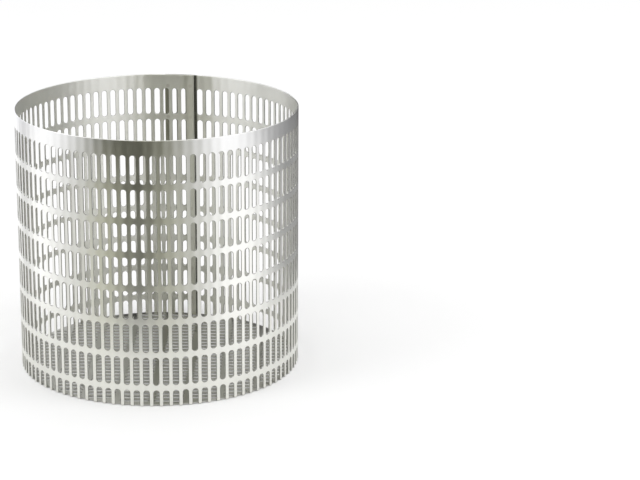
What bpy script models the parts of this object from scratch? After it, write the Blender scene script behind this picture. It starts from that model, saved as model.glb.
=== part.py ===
"""Strainer basket of slotted stainless sheet, as a Blender 4.5 script.

Two pieces: a wall, which is one slotted sheet rolled into a cylinder and lapped at the back, and a
slotted disc that sits inside its lower edge as the floor.

Metres, +Z up along the basket's axis. The origin is on the axis at the underside of the floor, and
the lap seam of the wall is at +Y.

The slots are drawn half as wide again as on the finished sheet, and half as far apart again, which
keeps their rows and the share of open area.
"""

import math

import bmesh
import bpy
from mathutils import Matrix, Vector

# The basket
OUTSIDE_DIAMETER = 0.202
HEIGHT = 0.190
SHEET = 0.001

# The slot pattern, the same on both pieces
SLOT_WIDTH = 0.006
SLOT_LENGTH = 0.020
BAR = 0.0042
BRIDGE = 0.004
RIM = 0.0105
LEAST_METAL = 0.0015

# The lap seam
LAP = 0.0223
LAP_END_STRIP = 0.0055
LAP_GAP = 0.0003
LAP_STEP_LENGTH = 0.015
OUTER_END_AZIMUTH = math.radians(90.4)
WELD_DIAMETER = 0.0026
WELD_SIDES = 6

# The floor
FLOOR_CLEARANCE = 0.0003
FLOOR_PLAIN_EDGE = 0.003

# Longest straight facet round the cylinder where no slot sets it
FACET = 0.006

STEEL_COLOUR = (0.62, 0.62, 0.59, 1.0)
STEEL_ROUGHNESS = 0.32

OUTSIDE_RADIUS = OUTSIDE_DIAMETER / 2
MIDDLE_RADIUS = OUTSIDE_RADIUS - SHEET / 2
TURN = 2 * math.pi * MIDDLE_RADIUS
LAP_STEP = SHEET + LAP_GAP
INNER_END_AZIMUTH = OUTER_END_AZIMUTH - LAP / MIDDLE_RADIUS
SLOT_PITCH = TURN / round(TURN / (SLOT_WIDTH + BAR))
ROW_PITCH = SLOT_LENGTH + BRIDGE


def clear_scene():
    for obj in list(bpy.data.objects):
        bpy.data.objects.remove(obj, do_unlink=True)


def steel():
    material = bpy.data.materials.new("stainless_sheet")
    material.use_nodes = True
    shader = material.node_tree.nodes["Principled BSDF"]
    shader.inputs["Base Color"].default_value = STEEL_COLOUR
    shader.inputs["Metallic"].default_value = 1.0
    shader.inputs["Roughness"].default_value = STEEL_ROUGHNESS
    material.diffuse_color = STEEL_COLOUR
    return material


def add_object(name, bm, material):
    """One object from a bmesh, with its faces pointing out."""
    mesh = bpy.data.meshes.new(name)
    bm.to_mesh(mesh)
    bm.free()
    mesh.materials.append(material)
    obj = bpy.data.objects.new(name, mesh)
    bpy.context.scene.collection.objects.link(obj)
    return obj


def as_helper(obj):
    """A cutter or a tool shape: it is used by a modifier and isn't part of the basket."""
    obj.hide_render = True
    obj.display_type = "WIRE"
    return obj


def add_boolean(obj, other, operation):
    modifier = obj.modifiers.new(other.name, "BOOLEAN")
    modifier.operation = operation
    modifier.object = other
    modifier.solver = "EXACT"


def split(start, end):
    """A plain stretch as bands no longer than a facet."""
    count = max(1, math.ceil((end - start) / FACET - 1e-9))
    step = (end - start) / count
    return [(start + i * step, start + (i + 1) * step, False) for i in range(count)]


def slot_columns():
    """The sheet from its inner end to its outer end, as bands (start, end, whether slots are in it)."""
    length = TURN + LAP
    bands = split(0.0, LAP_END_STRIP)
    start = LAP_END_STRIP
    while start + SLOT_WIDTH + LAP_END_STRIP <= length:
        bands.append((start, start + SLOT_WIDTH, True))
        following = start + SLOT_PITCH
        if following + SLOT_WIDTH + LAP_END_STRIP <= length:
            bands += split(start + SLOT_WIDTH, following)
        start = following
    return bands + split(bands[-1][1], length)


def slot_rows():
    """The sheet from its top edge down, as bands (top, bottom, whether slots are in it).

    The lower edge is cut where the height says, so it may leave the last row open.
    """
    bands = [(HEIGHT, HEIGHT - RIM, False)]
    top = HEIGHT - RIM
    while top > LEAST_METAL:
        bottom = top - SLOT_LENGTH
        if bottom < LEAST_METAL:
            bottom = 0.0
        bands.append((top, bottom, True))
        top = bottom - BRIDGE
        if bottom > 0:
            bands.append((bottom, max(top, 0.0), False))
        if 0 < top <= LEAST_METAL:
            bands[-1] = (bottom, 0.0, False)
    return bands


def lap_inset(along):
    """How far the sheet lies inside the cylinder, so that its inner end fits under its outer end."""
    past = (along - LAP) / LAP_STEP_LENGTH
    if past >= 1:
        return 0.0
    if past <= 0:
        return LAP_STEP
    return LAP_STEP * (1 + math.cos(math.pi * past)) / 2


def rolled(along, height):
    """Where a point of the flat sheet's outer face lies once the sheet is rolled."""
    azimuth = INNER_END_AZIMUTH + along / MIDDLE_RADIUS
    radius = OUTSIDE_RADIUS - lap_inset(along)
    return Vector((radius * math.cos(azimuth), radius * math.sin(azimuth), height))


def slotted_surface(columns, rows, place):
    """The outer face of the sheet as quads, with a hole wherever a slot column meets a slot row."""
    bm = bmesh.new()
    corners = {}

    def corner(u, v):
        key = (round(u, 7), round(v, 7))
        if key not in corners:
            corners[key] = bm.verts.new(place(u, v))
        return corners[key]

    for u0, u1, column_slotted in columns:
        for v0, v1, row_slotted in rows:
            if column_slotted and row_slotted:
                continue
            bm.faces.new((corner(u0, v1), corner(u1, v1), corner(u1, v0), corner(u0, v0)))
    return bm


def prism(bm, sides, radius, depth, matrix):
    bmesh.ops.create_cone(bm, cap_ends=True, segments=sides, radius1=radius, radius2=radius,
                          depth=depth, matrix=matrix)


def seam_welds(columns, rows, material):
    """A spot weld through both layers on the rim and on each bridge, near each end of the sheet."""
    bm = bmesh.new()
    heights = [(top + bottom) / 2 for top, bottom, slotted in rows if not slotted]
    last_slot_end = max(end for start, end, slotted in columns if slotted)
    outer_end_strip = TURN + LAP - last_slot_end
    middle_of_inner_strip = LAP_END_STRIP / 2
    middle_of_outer_strip = LAP - min(outer_end_strip, LAP_END_STRIP) / 2
    radius = OUTSIDE_RADIUS - SHEET - LAP_GAP / 2
    for along in (middle_of_inner_strip, middle_of_outer_strip):
        azimuth = INNER_END_AZIMUTH + along / MIDDLE_RADIUS
        outward = Vector((math.cos(azimuth), math.sin(azimuth), 0.0))
        turn = outward.to_track_quat("Z", "Y").to_matrix().to_4x4()
        for height in heights:
            centre = outward * radius + Vector((0.0, 0.0, height))
            prism(bm, WELD_SIDES, WELD_DIAMETER / 2, LAP_GAP + SHEET, Matrix.Translation(centre) @ turn)
    return as_helper(add_object("seam_welds", bm, material))


def make_wall(material):
    columns = slot_columns()
    rows = slot_rows()
    wall = add_object("slotted_wall", slotted_surface(columns, rows, rolled), material)
    thickness = wall.modifiers.new("sheet", "SOLIDIFY")
    thickness.thickness = SHEET
    thickness.offset = -1.0
    thickness.use_even_offset = True
    add_boolean(wall, seam_welds(columns, rows, material), "UNION")
    return wall


def floor_outline():
    """The wall's inner face less the clearance, with the step where the inner end of the lap stands in."""
    full = OUTSIDE_RADIUS - SHEET - FLOOR_CLEARANCE
    count = math.ceil(TURN / FACET)
    sides = [TURN * i / count for i in range(count)]
    points = []
    start = INNER_END_AZIMUTH - FLOOR_CLEARANCE / MIDDLE_RADIUS
    for along in sides:
        radius = full - lap_inset(along)
        azimuth = start + along / MIDDLE_RADIUS
        points.append(Vector((radius * math.cos(azimuth), radius * math.sin(azimuth), 0.0)))
    points.append(Vector((full * math.cos(start), full * math.sin(start), 0.0)))
    return points


def floor_slots():
    """Centres of the slots that lie whole inside the floor's plain edge. They run along X."""
    reach = OUTSIDE_RADIUS - SHEET - FLOOR_CLEARANCE - LAP_STEP - FLOOR_PLAIN_EDGE
    centres = []
    for i in range(math.ceil(reach / ROW_PITCH)):
        x = (i + 0.5) * ROW_PITCH
        for j in range(math.ceil(reach / SLOT_PITCH)):
            y = (j + 0.5) * SLOT_PITCH
            if math.hypot(x + SLOT_LENGTH / 2, y + SLOT_WIDTH / 2) <= reach:
                centres += [(side_x * x, side_y * y) for side_x in (-1, 1) for side_y in (-1, 1)]
    return centres


def make_floor(material):
    bm = bmesh.new()
    edge = bm.faces.new([bm.verts.new(point) for point in floor_outline()])
    raised = bmesh.ops.extrude_face_region(bm, geom=[edge])["geom"]
    bmesh.ops.translate(bm, vec=(0.0, 0.0, SHEET), verts=[v for v in raised if isinstance(v, bmesh.types.BMVert)])
    bmesh.ops.recalc_face_normals(bm, faces=bm.faces)
    floor = add_object("slotted_floor", bm, material)
    cutter = bmesh.new()
    for x, y in floor_slots():
        size = Matrix.Diagonal((SLOT_LENGTH, SLOT_WIDTH, 3 * SHEET, 1.0))
        bmesh.ops.create_cube(cutter, size=1.0, matrix=Matrix.Translation((x, y, SHEET / 2)) @ size)
    add_boolean(floor, as_helper(add_object("floor_slots", cutter, material)), "DIFFERENCE")
    return floor


clear_scene()
stainless = steel()
for piece in (make_wall(stainless), make_floor(stainless)):
    piece.data.shade_smooth()
    piece.data.set_sharp_from_angle(angle=math.radians(30))
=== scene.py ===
"""Looks of the strainer basket: satin stainless sheet with round-ended slots, on a white studio floor.

Metres, in the frame of the CAD model: +Z up along the basket's axis, the lap seam at +Y, and the
camera on the -Y side.
"""

import math

import bmesh
import bpy
from mathutils import Matrix, Vector


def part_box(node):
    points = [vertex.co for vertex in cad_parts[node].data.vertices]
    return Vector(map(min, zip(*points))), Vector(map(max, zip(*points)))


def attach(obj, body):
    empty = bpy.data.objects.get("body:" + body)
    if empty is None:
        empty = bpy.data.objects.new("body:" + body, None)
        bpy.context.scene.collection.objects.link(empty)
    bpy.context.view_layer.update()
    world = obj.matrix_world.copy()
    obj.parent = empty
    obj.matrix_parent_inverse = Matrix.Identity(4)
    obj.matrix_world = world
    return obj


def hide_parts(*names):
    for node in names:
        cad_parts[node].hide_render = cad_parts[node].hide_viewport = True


# The sheet and its slots
SHEET = 0.001
SLOT_WIDTH = 0.004
SLOT_LENGTH = 0.020
SLOT_PITCH = 0.0068
BRIDGE = 0.004
RIM = 0.0105
SLOTS_ROUND = 95
# Sides of a slot's round end, a multiple of 4
SLOT_END_SIDES = 8
EDGE_BREAK = 0.0004
EDGE_BREAK_ANGLE = math.radians(50)

# The lap seam, with its azimuth anticlockwise from +X. The joggle is where the outer layer jogs out
# over the sheet's inner end
FIRST_SLOT_AZIMUTH = math.radians(82.4)
INNER_END_STRIP = 0.0062
OUTER_END_STRIP = 0.0046
LAP_GAP = 0.0001
LAP_STEP_LENGTH = 0.015
JOGGLE_LENGTH = 0.0018

# The floor disc
FLOOR_CLEARANCE = 0.0003
FLOOR_PLAIN_EDGE = 0.002
FLOOR_LEAST_STRAIGHT = 0.0015
FLOOR_EDGE_SIDES = 192

# Steel: its colour, on the wall's inner face, the share of it on the outer face, and the floor's, which
# is darker. The outer face is multiplied down by its share, so the inner face is painted lighter than
# the outer one: painted light on the inside of the basket
STEEL = (0.89, 0.89, 0.835)
OUTER_FACE_SHARE = (0.92, 0.92, 0.92)
FLOOR_STEEL = (0.47, 0.47, 0.425)
STEEL_ROUGHNESS = 0.32
# Faint mottling: the stretch of the noise that counts, how dark it gets, and how far the gloss follows
MOTTLE_SCALE = 70.0
MOTTLE_DETAIL = 3.0
MOTTLE_RANGE = (0.3, 0.7)
MOTTLE_DARKEST = 0.95
MOTTLE_GLOSS = 0.03
# Rolling lines, with how close together they lie along each axis
GRAIN_SCALE = 500.0
GRAIN_DEPTH = 0.000006
WALL_GRAIN = (0.15, 0.15, 1.0)
FLOOR_GRAIN = (0.15, 1.0, 1.0)
# The flats that rolling leaves between the slot columns
FLAT_DEPTH = 0.00004
# The punched faces inside the slots. A face whose normal has less than this share along the sheet's
# own normal is one of them
CUT_FACING = 0.5
CUT_STEEL = (0.78, 0.78, 0.76)
CUT_ROUGHNESS_CHANGE = -0.05
# A painted shade line along a slot's rim, standing in for the shade on the edge where the punch drew the
# sheet in
RIM_LINE_PAINTED_SHADE = (0.22, 0.22, 0.19)
RIM_LINE_WIDTH = 0.0004
# Painted shade on the outer layer's inner face, in the lap, and a darker painted shadow line at the
# joggle
LAP_PAINTED_SHADE = (0.32, 0.32, 0.26)
LAP_PAINTED_SHADE_FADE = 0.003
JOGGLE_PAINTED_SHADOW = (0.07, 0.07, 0.055)
JOGGLE_PAINTED_SHADOW_REACH = 0.0016
# The share of the steel's colour that is left on the strip at the sheet's inner end
END_STRIP_SHARE = (0.80, 0.80, 0.77)
# Marks of the spot welds, which are full within the core and gone at the edge
WELD_TINT = (0.55, 0.52, 0.45)
WELD_MARK_STRENGTH = 0.4
WELD_MARK_CORE = 0.00084
WELD_MARK_EDGE = 0.00182

# The camera
CAMERA_PLACE = (0.1168, -1.5625, 0.5684)
CAMERA_PITCH = 0.2968
CAMERA_ROLL = 0.0059
CAMERA_LENS = 126.8
CAMERA_SENSOR = 36.0
CAMERA_CLIP = (0.05, 20.0)

# The studio
SKY_STRENGTH = 1.0
STAGE_RADIUS = 4.0
STAGE_SIDES = 64
# How far the paper lies below the disc, so that their faces don't meet
STAGE_DROP = 0.0002
PAPER = 0.87
LAMP_SIZE = 1.5
LAMP_AIM = (0.0, 0.0, 0.1)
# Name, place and watts of each lamp
LAMPS = (
    ("lamp_left", (-2.2, -1.2, 2.6), 24.0),
    ("lamp_right", (2.4, -0.6, 2.4), 19.0),
)
TENT_RADIUS = 0.26
TENT_HEIGHT = 1.2
TENT_SIDES = 96
# The tent's light in bands: height of a band's foot, its tint, and its strength at each bearing from
# -170 to 170 degrees by steps of 20, where 0 is towards -Y and positive is towards +X
TENT_BANDS = (
    (0.0, (0.97, 0.97, 1.00), (
        0.00, 1.45, 1.50, 0.70, 1.55, 1.10, 0.80, 0.60, 0.00,
        0.45, 0.70, 1.40, 1.35, 0.70, 0.30, 0.45, 0.15, 0.25)),
    (0.13, (0.95, 0.95, 1.04), (
        0.00, 1.15, 1.75, 0.65, 1.30, 1.45, 0.85, 0.00, 0.05,
        0.20, 0.85, 1.50, 0.90, 0.35, 0.40, 0.00, 0.00, 0.00)),
    (0.30, (0.98, 0.98, 1.02), (
        0.90, 1.00, 1.60, 2.30, 2.60, 2.40, 1.60, 1.00, 0.80,
        1.20, 2.00, 2.60, 2.70, 2.40, 2.00, 1.50, 1.00, 0.90)),
)
TENT_BAND_BLEND = 0.03
# The share of its blue that the tent loses at one bearing, and how far to each side the loss fades out
TENT_WARMTH = 0.38
TENT_WARM_BEARING = math.radians(-10)
TENT_WARM_REACH = math.radians(50)


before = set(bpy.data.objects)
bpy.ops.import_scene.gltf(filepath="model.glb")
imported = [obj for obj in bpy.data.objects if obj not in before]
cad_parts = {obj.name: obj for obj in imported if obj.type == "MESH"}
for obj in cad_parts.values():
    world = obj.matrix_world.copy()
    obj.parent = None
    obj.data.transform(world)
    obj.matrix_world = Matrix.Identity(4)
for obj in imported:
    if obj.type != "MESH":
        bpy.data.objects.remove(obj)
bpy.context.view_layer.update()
wall_low, wall_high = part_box("slotted_wall")

HEIGHT = wall_high.z
OUTSIDE_RADIUS = (wall_high.x - wall_low.x) / 2
MIDDLE_RADIUS = OUTSIDE_RADIUS - SHEET / 2
TURN = math.tau * MIDDLE_RADIUS
ROW_PITCH = SLOT_LENGTH + BRIDGE
# A slot is two arcs joined by a straight stretch. Its cell ends half a pitch and half a bridge away
ARC_RADIUS = SLOT_WIDTH / 2
HALF_STRAIGHT = SLOT_LENGTH / 2 - ARC_RADIUS
HALF_PITCH = SLOT_PITCH / 2
CELL_PAST_ARC = ARC_RADIUS + BRIDGE / 2
# Steps along the cell's edge from beside an arc's centre to the corner
CELL_SIDE_STEPS = SLOT_END_SIDES // 4
# The middle of the first slot from the sheet's inner end, and how long the flat sheet and its lap are
FIRST_SLOT = INNER_END_STRIP + ARC_RADIUS
SHEET_LENGTH = FIRST_SLOT + (SLOTS_ROUND - 1) * SLOT_PITCH + ARC_RADIUS + OUTER_END_STRIP
LAP = SHEET_LENGTH - TURN
LAP_STEP = SHEET + LAP_GAP
INNER_END_AZIMUTH = FIRST_SLOT_AZIMUTH - FIRST_SLOT / MIDDLE_RADIUS
FLOOR_RADIUS = OUTSIDE_RADIUS - SHEET - FLOOR_CLEARANCE
FLOOR_ARC_REACH = FLOOR_RADIUS - FLOOR_PLAIN_EDGE - ARC_RADIUS


def new_object(name, bm, material):
    """One object from a bmesh, which it frees."""
    mesh = bpy.data.meshes.new(name)
    bm.to_mesh(mesh)
    bm.free()
    mesh.materials.append(material)
    obj = bpy.data.objects.new(name, mesh)
    bpy.context.scene.collection.objects.link(obj)
    return obj


def thicken(obj):
    """Gives the sheet its thickness, away from the face that is modelled, and slightly broken edges."""
    solid = obj.modifiers.new("sheet", "SOLIDIFY")
    solid.thickness = SHEET
    solid.offset = -1.0
    solid.use_even_offset = True
    edges = obj.modifiers.new("edge_break", "BEVEL")
    edges.width = EDGE_BREAK
    edges.segments = 1
    edges.limit_method = "ANGLE"
    edges.angle_limit = EDGE_BREAK_ANGLE
    edges.harden_normals = True
    obj.data.shade_smooth()


def eased(past):
    """From 1 to 0 in a smooth curve as past goes from 0 to 1."""
    return (1 + math.cos(math.pi * min(max(past, 0.0), 1.0))) / 2


def lap_inset(along):
    """How far the sheet lies inside the cylinder.

    Its inner end lies one sheet thickness in, under the outer end. Just before it comes round to the
    inner end the sheet is in by as much again, and jogs out over the inner end.
    """
    inset = LAP_STEP * eased((along - LAP) / LAP_STEP_LENGTH)
    before_joggle = TURN - JOGGLE_LENGTH - along
    if before_joggle > 0:
        inset += LAP_STEP * eased(before_joggle / LAP_STEP_LENGTH)
    else:
        inset += LAP_STEP * eased(-before_joggle / JOGGLE_LENGTH)
    return inset


def rolled(along, height):
    """Where a point of the flat sheet's outer face lies once the sheet is rolled."""
    azimuth = INNER_END_AZIMUTH + along / MIDDLE_RADIUS
    radius = OUTSIDE_RADIUS - lap_inset(along)
    return Vector((radius * math.cos(azimuth), radius * math.sin(azimuth), height))


def slot_end():
    """A slot's round end and the part of its cell above, as pairs of (across, up) from the arc's centre.

    The first of each pair is on the arc and the second on the cell's edge, from right to left.
    """
    pairs = []
    for i in range(SLOT_END_SIDES + 1):
        angle = math.pi * i / SLOT_END_SIDES
        arc_point = (ARC_RADIUS * math.cos(angle), ARC_RADIUS * math.sin(angle))
        # From 0 to 1 up the cell's right side, to 3 along its top, and to 4 down its left side
        gone = i / CELL_SIDE_STEPS
        cell_point = (HALF_PITCH * min(max(2 - gone, -1), 1), CELL_PAST_ARC * min(gone, 4 - gone, 1))
        pairs.append((arc_point, cell_point))
    return pairs


def slot_rows():
    """Heights of the arc centres at the top and bottom of each row of slots.

    The bottom is None where the sheet's lower edge cuts the row open.
    """
    rows = []
    top = HEIGHT - RIM
    while top > SLOT_WIDTH:
        bottom = top - SLOT_LENGTH
        rows.append((top - ARC_RADIUS, bottom + ARC_RADIUS if bottom > 0 else None))
        top -= ROW_PITCH
    return rows


def cell_side_heights(rows):
    """Heights of the points along the cells' upright sides, from the sheet's top to its foot."""
    steps = [CELL_PAST_ARC * i / CELL_SIDE_STEPS for i in range(CELL_SIDE_STEPS + 1)]
    heights = [HEIGHT]
    for top, bottom in rows:
        heights += [top + step for step in reversed(steps)]
        heights += [0.0] if bottom is None else [bottom - step for step in steps[:-1]]
    return heights


def make_wall(material):
    """The whole sheet as one surface of quads, with a ring of quads round each slot, then rolled."""
    bm = bmesh.new()
    corners = {}

    def corner(along, height):
        key = (round(along, 6), round(height, 6))
        if key not in corners:
            corners[key] = bm.verts.new(rolled(along, height))
        return corners[key]

    def quad(*points):
        bm.faces.new([corner(*point) for point in points])

    def rectangle(start, end, foot, top):
        quad((start, foot), (end, foot), (end, top), (start, top))

    ends = slot_end()
    rows = slot_rows()
    rim_foot = rows[0][0] + CELL_PAST_ARC
    cell_top = [cell_point for _, cell_point in ends[CELL_SIDE_STEPS:3 * CELL_SIDE_STEPS + 1]]
    for column in range(SLOTS_ROUND):
        centre = FIRST_SLOT + column * SLOT_PITCH
        # The rim above the column
        for (right, _), (left, _) in zip(cell_top, cell_top[1:]):
            rectangle(centre + left, centre + right, rim_foot, HEIGHT)
        for top, bottom in rows:
            for (arc_0, cell_0), (arc_1, cell_1) in zip(ends, ends[1:]):
                around = (arc_0, cell_0, cell_1, arc_1)
                quad(*[(centre + across, top + up) for across, up in around])
                if bottom is not None:
                    quad(*[(centre + across, bottom - up) for across, up in reversed(around)])
            foot = 0.0 if bottom is None else bottom
            rectangle(centre + ARC_RADIUS, centre + HALF_PITCH, foot, top)
            rectangle(centre - HALF_PITCH, centre - ARC_RADIUS, foot, top)
    # The plain strips at the sheet's two ends
    cells_start = FIRST_SLOT - HALF_PITCH
    cells_end = cells_start + SLOTS_ROUND * SLOT_PITCH
    side_heights = cell_side_heights(rows)
    for start, end in ((0.0, cells_start), (cells_end, SHEET_LENGTH)):
        for upper, lower in zip(side_heights, side_heights[1:]):
            rectangle(start, end, lower, upper)
    bmesh.ops.recalc_face_normals(bm, faces=bm.faces)
    wall = new_object("wall_sheet", bm, material)
    thicken(wall)
    return wall


def ring(bm, points):
    """A closed ring of edges at the height of the floor's upper face."""
    verts = [bm.verts.new((x, y, SHEET)) for x, y in points]
    return [bm.edges.new((a, b)) for a, b in zip(verts, verts[1:] + verts[:1])]


def floor_edge():
    """The wall's inner face less the clearance, with the step where the lap's inner end stands in."""
    points = []
    for i in range(FLOOR_EDGE_SIDES):
        along = TURN * i / FLOOR_EDGE_SIDES
        azimuth = INNER_END_AZIMUTH + along / MIDDLE_RADIUS
        radius = FLOOR_RADIUS - lap_inset(along)
        points.append((radius * math.cos(azimuth), radius * math.sin(azimuth)))
    return points


def floor_slots():
    """The slots along X, as (x of the left arc's centre, x of the right one's, y).

    Those that reach the plain edge are shortened, and left out where too little of them remains.
    """
    slots = []
    half_rows = math.ceil(FLOOR_ARC_REACH / SLOT_PITCH)
    half_columns = math.ceil(FLOOR_ARC_REACH / ROW_PITCH)
    for j in range(-half_rows, half_rows):
        y = (j + 0.5) * SLOT_PITCH
        reach = math.sqrt(max(FLOOR_ARC_REACH ** 2 - y ** 2, 0.0))
        for i in range(-half_columns, half_columns):
            x = (i + 0.5) * ROW_PITCH
            left = max(x - HALF_STRAIGHT, -reach)
            right = min(x + HALF_STRAIGHT, reach)
            if right - left >= FLOOR_LEAST_STRAIGHT:
                slots.append((left, right, y))
    return slots


def slot_outline(left, right, y):
    """Points round a slot of the floor, anticlockwise from the foot of its right arc."""
    points = []
    for x, start in ((right, -math.pi / 2), (left, math.pi / 2)):
        for i in range(SLOT_END_SIDES + 1):
            angle = start + math.pi * i / SLOT_END_SIDES
            points.append((x + ARC_RADIUS * math.cos(angle), y + ARC_RADIUS * math.sin(angle)))
    return points


def make_floor(material):
    """The disc's upper face, filled between its edge and its slots."""
    bm = bmesh.new()
    edges = ring(bm, floor_edge())
    for slot in floor_slots():
        edges += ring(bm, slot_outline(*slot))
    bmesh.ops.triangle_fill(bm, use_beauty=True, use_dissolve=False, edges=edges, normal=(0, 0, 1))
    bmesh.ops.recalc_face_normals(bm, faces=bm.faces)
    if sum(face.normal.z for face in bm.faces) < 0:
        bmesh.ops.reverse_faces(bm, faces=bm.faces)
    floor = new_object("floor_sheet", bm, material)
    thicken(floor)
    return floor


class Nodes:
    """Shorthand for adding and linking the nodes of one material or world."""

    # The Mix node has a set of sockets for each kind of value, with the same names, so those for
    # colours go by number
    MIX_FIRST = 6
    MIX_SECOND = 7
    MIX_RESULT = 2

    def __init__(self, owner):
        owner.use_nodes = True
        self.tree = owner.node_tree

    def link(self, output, node, name):
        self.tree.links.new(output, node.inputs[name])

    def add(self, kind, inputs=None, **settings):
        """One node. Its inputs, by name or number, are other nodes' outputs or plain values."""
        node = self.tree.nodes.new(kind)
        for name, value in settings.items():
            setattr(node, name, value)
        for name, value in (inputs or {}).items():
            if isinstance(value, bpy.types.NodeSocket):
                self.link(value, node, name)
            else:
                node.inputs[name].default_value = value
        return node

    def math(self, operation, *values):
        return self.add("ShaderNodeMath", dict(enumerate(values)), operation=operation).outputs[0]

    def vector_math(self, operation, *values):
        return self.add("ShaderNodeVectorMath", dict(enumerate(values)), operation=operation).outputs

    def separate(self, vector):
        return self.add("ShaderNodeSeparateXYZ", {"Vector": vector}).outputs

    def length(self, across, up):
        squared = self.math("MULTIPLY_ADD", across, across, self.math("MULTIPLY", up, up))
        return self.math("SQRT", squared)

    def fade(self, value, near, far, full=1.0):
        """Full where the value is below near, and smoothly down to 0 where it reaches far."""
        limits = {"Value": value, "From Min": near, "From Max": far, "To Min": full, "To Max": 0.0}
        return self.add("ShaderNodeMapRange", limits, interpolation_type="SMOOTHSTEP").outputs["Result"]

    def mix(self, factor, first, second, blend="MIX"):
        inputs = {"Factor": factor, self.MIX_FIRST: first, self.MIX_SECOND: second}
        node = self.add("ShaderNodeMix", inputs, data_type="RGBA", blend_type=blend)
        return node.outputs[self.MIX_RESULT]


class Steel:
    """Satin mill-finish stainless: faint mottling, fine rolling grain and slightly uneven gloss."""

    def __init__(self, name, steel):
        self.material = bpy.data.materials.new(name)
        self.nodes = Nodes(self.material)
        self.shader = self.material.node_tree.nodes["Principled BSDF"]
        self.shader.inputs["Metallic"].default_value = 1.0
        nodes = self.nodes
        self.place = nodes.add("ShaderNodeTexCoord").outputs["Object"]
        mottle = nodes.add("ShaderNodeTexNoise", {
            "Vector": self.place, "Scale": MOTTLE_SCALE, "Detail": MOTTLE_DETAIL}).outputs["Fac"]
        colour = nodes.add("ShaderNodeValToRGB", {"Fac": mottle})
        low, high = MOTTLE_RANGE
        levels = ((low, MOTTLE_DARKEST), (high, 1.0))
        for element, (position, share) in zip(colour.color_ramp.elements, levels):
            element.position = position
            element.color = (*[share * c for c in steel], 1.0)
        self.colour = colour.outputs["Color"]
        gloss = nodes.add("ShaderNodeMapRange", {
            "Value": mottle, "From Min": low, "From Max": high,
            "To Min": STEEL_ROUGHNESS - MOTTLE_GLOSS, "To Max": STEEL_ROUGHNESS + MOTTLE_GLOSS})
        self.roughness = gloss.outputs["Result"]
        self.normal = None

    def tint(self, mask, colour, blend="MIX"):
        """Lays a colour over the steel where the mask is 1, or multiplies the steel by it."""
        self.colour = self.nodes.mix(mask, self.colour, (*colour, 1.0), blend)

    def cut_faces(self, facing):
        """Darker metal on the punched faces, which face across the sheet: facing is near 0 there."""
        cut = self.nodes.math("LESS_THAN", self.nodes.math("ABSOLUTE", facing), CUT_FACING)
        self.tint(cut, CUT_STEEL)
        self.roughness = self.nodes.math("MULTIPLY_ADD", cut, CUT_ROUGHNESS_CHANGE, self.roughness)

    def slot_rim_painted_shade(self, across, past_straight, there=1.0):
        """A painted shade line round each slot.

        A point's place is given across the slot's straight sides and past their ends. Where there is 0,
        no slot is near.
        """
        nodes = self.nodes
        distance = nodes.length(across, nodes.math("MAXIMUM", 0.0, past_straight))
        rim_shade = nodes.fade(distance, ARC_RADIUS, ARC_RADIUS + RIM_LINE_WIDTH)
        self.tint(nodes.math("MULTIPLY", rim_shade, there), RIM_LINE_PAINTED_SHADE)

    def bump(self, height, distance):
        node = self.nodes.add("ShaderNodeBump", {
            "Height": height, "Strength": 1.0, "Distance": distance})
        if self.normal:
            self.nodes.link(self.normal, node, "Normal")
        self.normal = node.outputs["Normal"]

    def grain(self, closeness):
        """Fine rolling lines, close together along each axis by that share."""
        nodes = self.nodes
        stretched = nodes.add("ShaderNodeMapping", {"Vector": self.place, "Scale": closeness})
        lines = nodes.add("ShaderNodeTexNoise", {
            "Vector": stretched.outputs["Vector"], "Scale": GRAIN_SCALE})
        self.bump(lines.outputs["Fac"], GRAIN_DEPTH)

    def finished(self):
        self.nodes.link(self.colour, self.shader, "Base Color")
        self.nodes.link(self.roughness, self.shader, "Roughness")
        self.nodes.link(self.normal, self.shader, "Normal")
        return self.material


def facing_outward(steel):
    """1 on the wall's outer face, -1 on its inner face, and near 0 on the punched faces."""
    nodes = steel.nodes
    level = nodes.vector_math("MULTIPLY", steel.place, (1.0, 1.0, 0.0))["Vector"]
    outward = nodes.vector_math("NORMALIZE", level)["Vector"]
    face = nodes.add("ShaderNodeNewGeometry").outputs["True Normal"]
    return nodes.vector_math("DOT_PRODUCT", face, outward)["Value"]


def place_along_sheet(nodes, place):
    """How far along the flat sheet a point is, from the sheet's inner end.

    Where the sheet's ends lap, the outer layer is a turn further along than the inner one.
    """
    azimuth = nodes.math("ARCTAN2", place["Y"], place["X"])
    past_inner_end = nodes.math("SUBTRACT", azimuth, INNER_END_AZIMUTH)
    along = nodes.math("MULTIPLY", nodes.math("FLOORED_MODULO", past_inner_end, math.tau), MIDDLE_RADIUS)
    radius = nodes.length(place["X"], place["Y"])
    outer_layer = nodes.math("GREATER_THAN", radius, OUTSIDE_RADIUS - (SHEET + LAP_STEP) / 2)
    in_lap = nodes.math("LESS_THAN", along, LAP)
    return nodes.math("MULTIPLY_ADD", nodes.math("MULTIPLY", outer_layer, in_lap), TURN, along)


def add_wall_slot_rim_shade(steel, slot, height):
    """The painted shade lines round the wall's slots. How far along the sheet a point is, is counted in
    slots.
    """
    nodes = steel.nodes
    nearest = nodes.math("MAXIMUM", nodes.math("ROUND", slot), 0.0)
    column = nodes.math("MINIMUM", nearest, SLOTS_ROUND - 1)
    across = nodes.math("MULTIPLY", nodes.math("SUBTRACT", slot, column), SLOT_PITCH)
    below_first = nodes.math("SUBTRACT", HEIGHT - RIM - SLOT_LENGTH / 2, height)
    place = nodes.math("DIVIDE", below_first, ROW_PITCH)
    row = nodes.math("MAXIMUM", nodes.math("ROUND", place), 0.0)
    off_middle = nodes.math("MULTIPLY", nodes.math("SUBTRACT", place, row), ROW_PITCH)
    past_straight = nodes.math("SUBTRACT", nodes.math("ABSOLUTE", off_middle), HALF_STRAIGHT)
    steel.slot_rim_painted_shade(across, past_straight)


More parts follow.
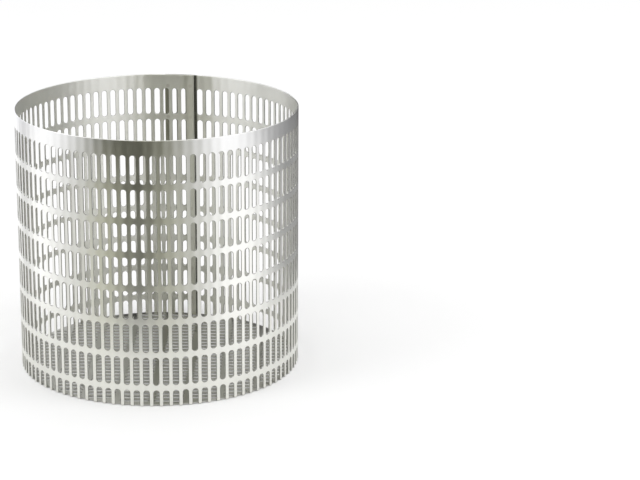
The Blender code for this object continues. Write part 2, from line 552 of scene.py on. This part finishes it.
def add_weld_marks(steel, along, height):
    """Faint marks on the rim and on each bridge, at both ends of the lap."""
    nodes = steel.nodes
    place = nodes.math("DIVIDE", nodes.math("SUBTRACT", HEIGHT - RIM + BRIDGE / 2, height), ROW_PITCH)
    below = nodes.math("MULTIPLY", nodes.math("SUBTRACT", place, nodes.math("ROUND", place)), ROW_PITCH)
    for middle in (INNER_END_STRIP / 2, LAP - OUTER_END_STRIP / 2):
        distance = nodes.length(nodes.math("SUBTRACT", along, middle), below)
        mark = nodes.fade(distance, WELD_MARK_CORE, WELD_MARK_EDGE, WELD_MARK_STRENGTH)
        steel.tint(mark, WELD_TINT)


def add_lap_painted_shade(steel, along, facing):
    """Painted shade on the outer layer's inner face: in the lap, and darkest, as a painted shadow line,
    where the sheet jogs out.
    """
    nodes = steel.nodes
    inner_face = nodes.math("LESS_THAN", facing, CUT_FACING)
    # Painted shade over the lap, fading out just past the joggle
    before_joggle = nodes.math("SUBTRACT", TURN - JOGGLE_LENGTH, along)
    lap_shade = nodes.fade(before_joggle, 0.0, LAP_PAINTED_SHADE_FADE)
    steel.tint(nodes.math("MULTIPLY", lap_shade, inner_face), LAP_PAINTED_SHADE)
    # A darker painted shadow line along the joggle
    off_joggle = nodes.math("ABSOLUTE", nodes.math("SUBTRACT", TURN - JOGGLE_LENGTH / 2, along))
    joggle_shadow = nodes.fade(off_joggle, JOGGLE_LENGTH / 2, JOGGLE_PAINTED_SHADOW_REACH)
    steel.tint(nodes.math("MULTIPLY", joggle_shadow, inner_face), JOGGLE_PAINTED_SHADOW)


def wall_steel():
    """The wall's steel, with flats between the slots, spot welds and the painted shade that lies in the
    lap.
    """
    steel = Steel("wall_steel", STEEL)
    nodes = steel.nodes
    place = nodes.separate(steel.place)
    facing = facing_outward(steel)
    along = place_along_sheet(nodes, place)
    slot = nodes.math("DIVIDE", nodes.math("SUBTRACT", along, FIRST_SLOT), SLOT_PITCH)

    steel.bump(nodes.math("COSINE", nodes.math("MULTIPLY", slot, math.tau)), FLAT_DEPTH)
    steel.grain(WALL_GRAIN)

    # The outer face is darkened by its share, which leaves the inner face painted lighter: painted light
    # on the inside
    steel.tint(nodes.math("GREATER_THAN", facing, -CUT_FACING), OUTER_FACE_SHARE, "MULTIPLY")
    # Painted shade lines round the slots
    add_wall_slot_rim_shade(steel, slot, place["Z"])
    steel.tint(nodes.fade(along, INNER_END_STRIP, 2 * INNER_END_STRIP), END_STRIP_SHARE, "MULTIPLY")
    add_weld_marks(steel, along, place["Z"])
    steel.cut_faces(facing)
    # Painted shade in the lap and a painted shadow line at the joggle
    add_lap_painted_shade(steel, along, facing)
    return steel.finished()


def add_floor_slot_rim_shade(steel, place):
    """The painted shade lines round the floor's slots, which end where floor_slots() says."""
    nodes = steel.nodes
    middle = {}
    for axis, pitch in (("X", ROW_PITCH), ("Y", SLOT_PITCH)):
        cell = nodes.math("FLOOR", nodes.math("DIVIDE", place[axis], pitch))
        middle[axis] = nodes.math("MULTIPLY", pitch, nodes.math("ADD", 0.5, cell))
    middle_squared = nodes.math("MULTIPLY", middle["Y"], middle["Y"])
    reach_squared = nodes.math("SUBTRACT", FLOOR_ARC_REACH ** 2, middle_squared)
    reach = nodes.math("SQRT", nodes.math("MAXIMUM", 0.0, reach_squared))
    minus_reach = nodes.math("MULTIPLY", -1.0, reach)
    right = nodes.math("MINIMUM", nodes.math("ADD", middle["X"], HALF_STRAIGHT), reach)
    left = nodes.math("MAXIMUM", nodes.math("SUBTRACT", middle["X"], HALF_STRAIGHT), minus_reach)
    past_left = nodes.math("SUBTRACT", left, place["X"])
    past_right = nodes.math("SUBTRACT", place["X"], right)
    straight = nodes.math("SUBTRACT", right, left)
    steel.slot_rim_painted_shade(nodes.math("SUBTRACT", place["Y"], middle["Y"]),
                    nodes.math("MAXIMUM", past_left, past_right),
                    nodes.math("GREATER_THAN", straight, FLOOR_LEAST_STRAIGHT))


def floor_steel():
    """The floor's steel, with rolling lines along its slots."""
    steel = Steel("floor_steel", FLOOR_STEEL)
    nodes = steel.nodes
    steel.grain(FLOOR_GRAIN)
    # Painted shade lines round the slots
    add_floor_slot_rim_shade(steel, nodes.separate(steel.place))
    face = nodes.add("ShaderNodeNewGeometry").outputs["True Normal"]
    steel.cut_faces(nodes.separate(face)["Z"])
    return steel.finished()


def make_world():
    """Even white light from all round."""
    world = bpy.data.worlds.new("studio")
    bpy.context.scene.world = world
    Nodes(world)
    sky = world.node_tree.nodes["Background"]
    sky.inputs["Color"].default_value = (1.0, 1.0, 1.0, 1.0)
    sky.inputs["Strength"].default_value = SKY_STRENGTH
    # Even light has no bright part to aim rays at
    world.cycles.sampling_method = "NONE"


def make_stage():
    """A floor of white paper."""
    material = bpy.data.materials.new("stage_floor")
    Nodes(material)
    paper = material.node_tree.nodes["Principled BSDF"]
    paper.inputs["Base Color"].default_value = (PAPER, PAPER, PAPER, 1.0)
    paper.inputs["Roughness"].default_value = 1.0
    paper.inputs["Specular IOR Level"].default_value = 0.0
    bm = bmesh.new()
    bmesh.ops.create_circle(bm, cap_ends=True, segments=STAGE_SIDES, radius=STAGE_RADIUS)
    floor = new_object("stage_floor", bm, material)
    floor.location.z = -STAGE_DROP


def fill_tent_ramp(ramp, tint, strengths):
    """One band of the tent's light: a colour for each bearing at which a strength is given."""
    while len(ramp.elements) < len(strengths):
        ramp.elements.new(0.5)
    for i, (element, strength) in enumerate(zip(ramp.elements, strengths)):
        element.position = (i + 0.5) / len(strengths)
        bearing = math.tau * (element.position - 0.5)
        red, green, blue = [strength * c for c in tint]
        blue *= 1 - TENT_WARMTH * eased(abs(bearing - TENT_WARM_BEARING) / TENT_WARM_REACH)
        element.color = (red, green, blue, 1.0)


def tent_light():
    """The tent's material: its bands, blended into each other by height."""
    material = bpy.data.materials.new("tent")
    nodes = Nodes(material)
    nodes.tree.nodes.clear()
    place = nodes.add("ShaderNodeTexCoord").outputs["Object"]
    height = nodes.separate(place)["Z"]
    # The gradient starts at -X, and the bearings at +Y
    turned = nodes.add("ShaderNodeMapping", {"Vector": place, "Rotation": (0.0, 0.0, math.pi / 2)})
    bearing = nodes.add("ShaderNodeTexGradient", {"Vector": turned.outputs["Vector"]},
                        gradient_type="RADIAL")
    colour = None
    for foot, tint, strengths in TENT_BANDS:
        light = nodes.add("ShaderNodeValToRGB", {"Fac": bearing.outputs["Fac"]})
        fill_tent_ramp(light.color_ramp, tint, strengths)
        if colour is None:
            colour = light.outputs["Color"]
            continue
        above = nodes.add("ShaderNodeMapRange", {
            "Value": height, "From Min": foot - TENT_BAND_BLEND, "From Max": foot + TENT_BAND_BLEND})
        colour = nodes.mix(above.outputs["Result"], colour, light.outputs["Color"])
    glow = nodes.add("ShaderNodeEmission", {"Color": colour, "Strength": 1.0})
    output = nodes.add("ShaderNodeOutputMaterial")
    nodes.link(glow.outputs[0], output, "Surface")
    # It lights nothing but reflections, so no rays are aimed at it
    material.cycles.emission_sampling = "NONE"
    return material


def make_tent():
    """The light tent round the basket. Only reflections see it."""
    bm = bmesh.new()
    bmesh.ops.create_cone(bm, cap_ends=False, segments=TENT_SIDES, depth=TENT_HEIGHT,
                          radius1=TENT_RADIUS, radius2=TENT_RADIUS,
                          matrix=Matrix.Translation((0.0, 0.0, TENT_HEIGHT / 2)))
    tent = new_object("tent", bm, tent_light())
    tent.visible_camera = False
    tent.visible_diffuse = False
    tent.visible_shadow = False
    tent.visible_transmission = False


def add_lamp(name, place, power):
    """A square soft light. Reflections see the tent instead of it."""
    lamp = bpy.data.lights.new(name, "AREA")
    lamp.shape = "SQUARE"
    lamp.size = LAMP_SIZE
    lamp.energy = power
    obj = bpy.data.objects.new(name, lamp)
    obj.location = place
    obj.rotation_euler = (Vector(LAMP_AIM) - Vector(place)).to_track_quat("-Z", "Y").to_euler()
    obj.visible_glossy = False
    bpy.context.scene.collection.objects.link(obj)


def make_camera():
    data = bpy.data.cameras.new("camera")
    data.lens = CAMERA_LENS
    data.sensor_width = CAMERA_SENSOR
    data.clip_start, data.clip_end = CAMERA_CLIP
    camera = bpy.data.objects.new("camera", data)
    turn = Matrix.Rotation(math.pi / 2 - CAMERA_PITCH, 4, "X") @ Matrix.Rotation(CAMERA_ROLL, 4, "Z")
    camera.matrix_world = Matrix.Translation(CAMERA_PLACE) @ turn
    bpy.context.scene.collection.objects.link(camera)
    bpy.context.scene.camera = camera


wall = make_wall(wall_steel())
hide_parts("slotted_wall")
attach(wall, "root")

floor = make_floor(floor_steel())
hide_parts("slotted_floor")
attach(floor, "root")

make_world()
make_stage()
make_tent()
for name, place, power in LAMPS:
    add_lamp(name, place, power)
make_camera()
bpy.context.scene.view_settings.view_transform = "Standard"
